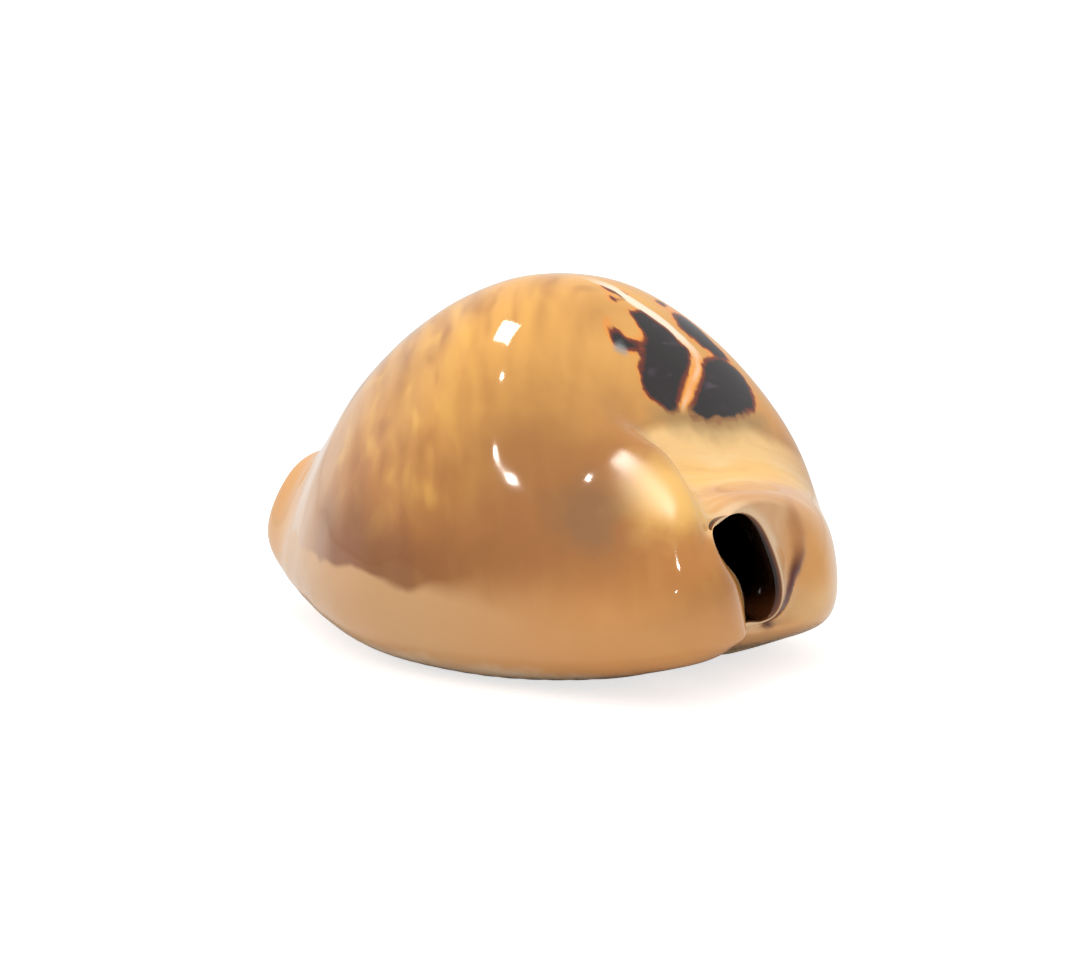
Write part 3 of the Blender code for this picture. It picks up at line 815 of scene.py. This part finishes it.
def backLayers(w, at, color):
    # behind the blotches: bands across the far side, among them a painted highlight on the saddle and a
    # yellow crest partly painted light on its upturned top; the near lobe's pale tan top with a painted
    # sheen, a grey-brown cloud, the far lobe's tone and fine rings
    farther = w.times(w.band(w.wavy(at.arc, at.middle, "farther"), "farther"), w.band(at.arc, "fartherEnd"))
    behind = w.wavy(at.x, at.coarse, "behind")
    # the saddle band is a painted highlight; the crest band is partly painted light on its upturned top
    for name in ("halo", "saddleHighlight", "crest", "collar"):
        color = w.cover(color, w.times(w.band(behind, name), farther), name)
    # pale tan with a painted sheen on the near lobe's top
    color = w.cover(color, w.spot(at.place, at.middle, "lobeTanAndSheen"), "lobeTanAndSheen")
    color = w.cover(color, w.spot(at.place, at.middle, "cloud"), "cloud")
    farLobe = w.times(w.spot(at.place, at.middle, "farLobe"), w.band(at.y, "farLobeSide"))
    farColor = w.cover(tone("farFlank"), w.band(at.z, "farFoot"), "farFoot")
    color = w.cover(color, farLobe, "farLobe", farColor)
    ringed = w.times(w.band(at.x, "ringed"), farther)
    for name in ("ringDark", "ringPale"):
        color = w.cover(color, w.times(w.band(at.rings, name), ringed), name)
    return color


def blotchLayers(w, at, color):
    # orange and red-brown fringes round a near-black middle, each a step of the distance
    # into the blotches or past the mantle line, whichever is less
    edge = w.wavy(w.wavy(w.field("blotch"), at.ragged, "blotchRagged"), at.middle, "blotch")
    line = w.math("ABSOLUTE", w.wavy(w.field("mantle"), at.middle, "mantle"))
    pastLine = w.math("SUBTRACT", line, w.band(at.x, "mantleWidth"))
    edge = w.math("MINIMUM", edge, pastLine)
    lower = w.wavy(at.x, at.middle, "lower")
    halo = w.times(w.band(edge, "blotchHalo"), w.band(at.x, "blotchHaloStart"))
    color = w.cover(color, halo, "blotchHalo", "halo")
    glow = w.times(w.band(edge, "glow"), w.band(at.middle, "glowPatches"), w.band(lower, "warm"))
    color = w.cover(color, glow, "glow")
    # the mantle line: pale at its top, orange lower down, with a paler core
    onLine = w.times(w.band(pastLine, "mantle"), w.band(at.x, "mantleStart"), w.band(at.x, "mantleEnd"))
    lineColor = w.cover(tone("mantleTop"), w.band(lower, "mantleLow"), "mantleLow")
    color = w.cover(color, onLine, "mantle", lineColor)
    core = w.times(w.band(pastLine, "mantleCore"), onLine, w.band(at.lobes, "mantleCorePatches"))
    color = w.cover(color, core, "mantleCore", "mantleTop")
    color = w.cover(color, w.times(w.band(edge, "fringe"), w.band(at.x, "fringeEnd")), "fringe")
    color = w.cover(color, w.band(edge, "blotch"), "blotch")
    cracks = w.times(w.band(w.drawnOut(at.x, at.arc, "cracks"), "cracks"), w.band(edge, "cracksInside"))
    color = w.cover(color, cracks, "cracks")
    return w.cover(color, w.spot(at.place, at.ragged, "blueGrey"), "blueGrey")


def hollowLayers(w, at, color):
    # the canal's pale rim, the groove in the far lobe darkened with painted shade, the base and the hollow
    # darkened with painted shade, brown at its mouth and near black deeper in, with a brown fold low on its
    # far side
    color = w.cover(color, w.times(w.band(at.depth, "rim"), w.band(at.x, "rimStart")), "rim")
    away = w.wavy(w.field("groove"), at.ragged, "groove")
    # painted shade darkening the groove and the band above it
    color = w.cover(color, w.times(w.band(away, "grooveTop"), w.band(at.z, "grooveTopHeight")), "grooveTop")
    color = w.cover(color, w.times(w.band(away, "groove"), w.band(at.z, "grooveHeight")), "groove")
    color = w.cover(color, w.band(w.wavy(at.z, at.middle, "base"), "base"), "base")
    # painted shade: brown just inside the mouth, then near black deeper in the hollow
    color = w.cover(color, w.band(at.depth, "mouthBrownAndShade"), "mouthBrownAndShade")
    fold = w.times(w.band(at.z, "foldHeight"), w.band(at.y, "foldSide"))
    return w.cover(color, w.band(at.depth, "hollowShade"), "hollowShade",
                   w.cover(tone("inside"), fold, "fold", "mouthBrownAndShade"))


def makeEnamel():
    # the layers' colour, and a roughness that rises on the near lobe's worn top
    material = bpy.data.materials.new("shell_enamel")
    material.use_nodes = True
    w = Wiring(material.node_tree)
    shader = material.node_tree.nodes["Principled BSDF"]
    at = surfaceValues(w)
    color = groundLayers(w, at)
    for addLayers in (frontLayers, marginLayers, backLayers, blotchLayers, hollowLayers):
        color = addLayers(w, at, color)
    w.put(shader.inputs["Base Color"], color)
    worn = w.spot(at.place, at.middle, "worn")
    w.put(shader.inputs["Roughness"], w.plus(enamel["roughness"], worn, enamel["wornRoughness"]))
    return material


shellPiece.data.materials.append(makeEnamel())


print("stage: floor, lights and camera")
# Sizes and distances are in metres, powers in watts
studio = {
    "floorSize": 3.0,
    "floorColor": (0.7, 0.7, 0.7, 1),
    "floorRoughness": 0.9,
    "skyColor": (1, 1, 1, 1),
    "floorGlow": 1.0,           # added where the camera looks straight at the floor
    "skyStrength": 0.74,
    "backdropStrength": 1.05,   # what the camera sees behind the floor
    "lampDistance": 0.6,
    "lampColor": (1, 0.95, 0.88),
    # each lamp stands so that the shell mirrors it at one place: that place in mm, the way
    # from it to the lamp, the lamp's size and its power
    "lamps": {
        "lamp_top": ((5.7, -8.4, 23.2), (-0.19, -0.04, 0.98), 0.16, 2.0),
        "lamp_back": ((14.3, -9.3, 14.3), (0.1, -0.35, 0.93), 0.028, 0.16),
        "lamp_side": ((10.6, -12.6, 14.1), (0.31, -0.65, 0.70), 0.018, 0.09),
    },
}

view = {
    "azimuth": 46,              # degrees round from the near side towards the back end
    "elevation": 9,
    "distance": 0.2576,         # metres from the target
    "target": (0.0002, 0, 0.01125),
    "lens": 121,                # mm
    "clipStart": 0.01,
}


def addFloor():
    # square sheet of paper, which glows a little where the camera looks straight at it
    half = studio["floorSize"] / 2
    mesh = bpy.data.meshes.new("floor")
    corners = [(-half, -half, 0), (half, -half, 0), (half, half, 0), (-half, half, 0)]
    mesh.from_pydata(corners, [], [(0, 1, 2, 3)])
    material = bpy.data.materials.new("floor_paper")
    material.use_nodes = True
    shader = material.node_tree.nodes["Principled BSDF"]
    shader.inputs["Base Color"].default_value = studio["floorColor"]
    shader.inputs["Roughness"].default_value = studio["floorRoughness"]
    shader.inputs["Emission Color"].default_value = studio["floorColor"]
    direct = material.node_tree.nodes.new("ShaderNodeLightPath").outputs["Is Camera Ray"]
    glow = material.node_tree.nodes.new("ShaderNodeMath")
    glow.operation = "MULTIPLY"
    glow.inputs[1].default_value = studio["floorGlow"]
    material.node_tree.links.new(direct, glow.inputs[0])
    material.node_tree.links.new(glow.outputs[0], shader.inputs["Emission Strength"])
    mesh.materials.append(material)
    floor = bpy.data.objects.new("floor", mesh)
    bpy.context.scene.collection.objects.link(floor)


def addLamp(name, seenAt, towards, size, power):
    # square lamp at the lamps' distance from the place where it is seen, turned to it
    light = bpy.data.lights.new(name, "AREA")
    light.size = size
    light.energy = power
    light.color = studio["lampColor"]
    aim = Vector(seenAt) / toMm
    place = aim + studio["lampDistance"] * Vector(towards).normalized()
    lamp = bpy.data.objects.new(name, light)
    lamp.location = place
    lamp.rotation_mode = "QUATERNION"
    lamp.rotation_quaternion = (aim - place).to_track_quat("-Z", "Y")
    bpy.context.scene.collection.objects.link(lamp)


def addSky():
    # even white light, and a brighter white where the camera looks straight at it
    world = bpy.data.worlds.new("studio")
    world.use_nodes = True
    back = world.node_tree.nodes["Background"]
    back.inputs["Color"].default_value = studio["skyColor"]
    direct = world.node_tree.nodes.new("ShaderNodeLightPath").outputs["Is Camera Ray"]
    strength = world.node_tree.nodes.new("ShaderNodeMapRange")
    strength.inputs["To Min"].default_value = studio["skyStrength"]
    strength.inputs["To Max"].default_value = studio["backdropStrength"]
    world.node_tree.links.new(direct, strength.inputs["Value"])
    world.node_tree.links.new(strength.outputs[0], back.inputs["Strength"])
    bpy.context.scene.world = world
    bpy.context.scene.view_settings.view_transform = "Standard"


def addCamera():
    # the way out from the target by azimuth and elevation, times the distance
    azimuth, elevation = radians(view["azimuth"]), radians(view["elevation"])
    away = Vector((sin(azimuth) * cos(elevation), -cos(azimuth) * cos(elevation), sin(elevation)))
    lens = bpy.data.cameras.new("camera")
    lens.lens = view["lens"]
    lens.clip_start = view["clipStart"]
    camera = bpy.data.objects.new("camera", lens)
    camera.location = Vector(view["target"]) + view["distance"] * away
    camera.rotation_mode = "QUATERNION"
    camera.rotation_quaternion = (-away).to_track_quat("-Z", "Y")
    bpy.context.scene.collection.objects.link(camera)
    bpy.context.scene.camera = camera


addFloor()
for name, lamp in studio["lamps"].items():
    addLamp(name, *lamp)
addSky()
addCamera()

print("done:", len(shellPiece.data.polygons), "faces")
